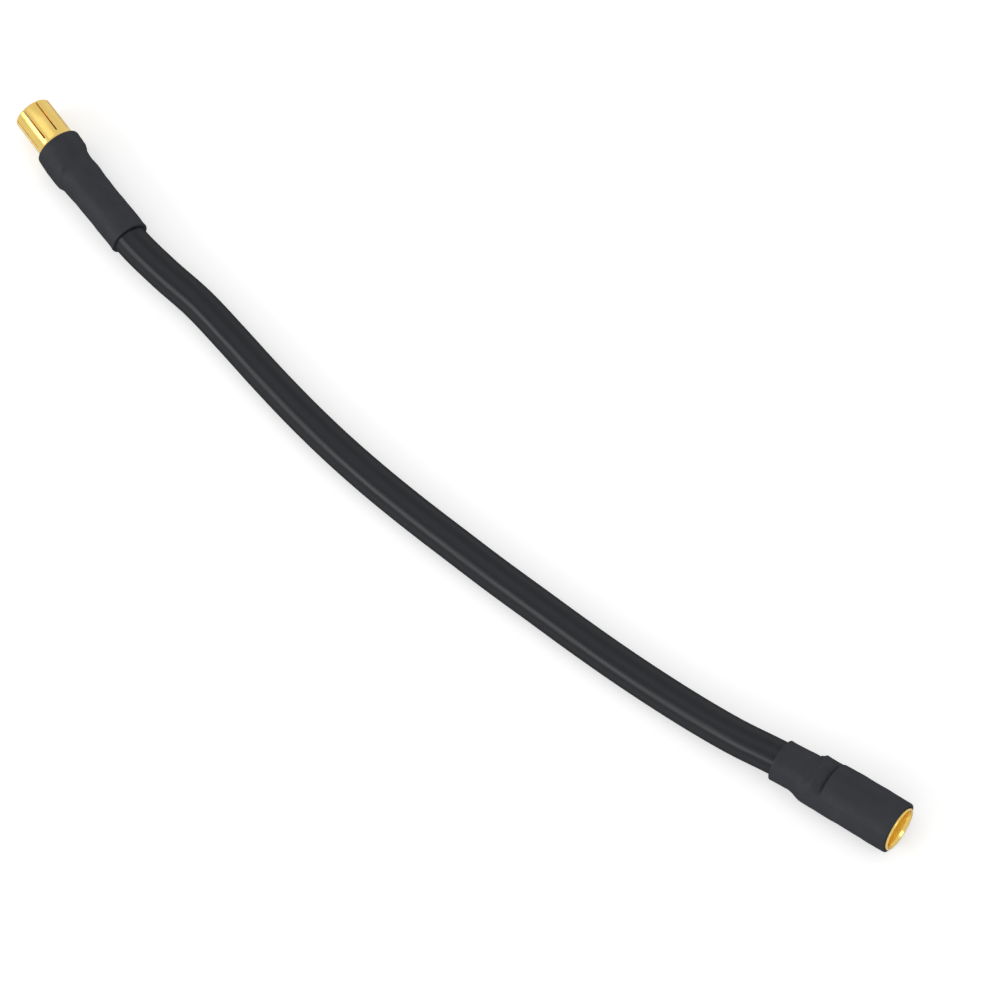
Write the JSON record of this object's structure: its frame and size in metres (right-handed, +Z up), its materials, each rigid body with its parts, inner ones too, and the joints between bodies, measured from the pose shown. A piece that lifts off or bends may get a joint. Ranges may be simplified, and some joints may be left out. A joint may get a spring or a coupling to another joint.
{
  "type": "battery lead with gold bullet connectors",
  "caption": "Short black silicone wire lead with a slotted gold bullet plug at one end and a gold bullet socket at the other, each in a heat-shrink sleeve.",
  "frame": {"origin": "on the surface that the lead lies on, midway between the two contacts", "axes": "+X from the plug towards the socket along the lead's length, +Z up from the surface"},
  "size_m": [0.1783, 0.0165, 0.008],
  "materials": {
    "gold_plated_brass": "bright gold plating over turned brass",
    "solder": "frozen tin solder, dull silver",
    "heat_shrink": "matt black polyolefin film",
    "silicone_rubber": "satin black silicone",
    "stranded_copper": "bundle of fine tinned copper strands"
  },
  "bodies": {
    "root": {"male_plug": "gold_plated_brass", "female_socket": "gold_plated_brass", "male_solder": "solder", "female_solder": "solder", "male_sleeve": "heat_shrink", "female_sleeve": "heat_shrink", "wire_insulation": "silicone_rubber", "copper_conductor": "stranded_copper"}
  },
  "joints": []
}
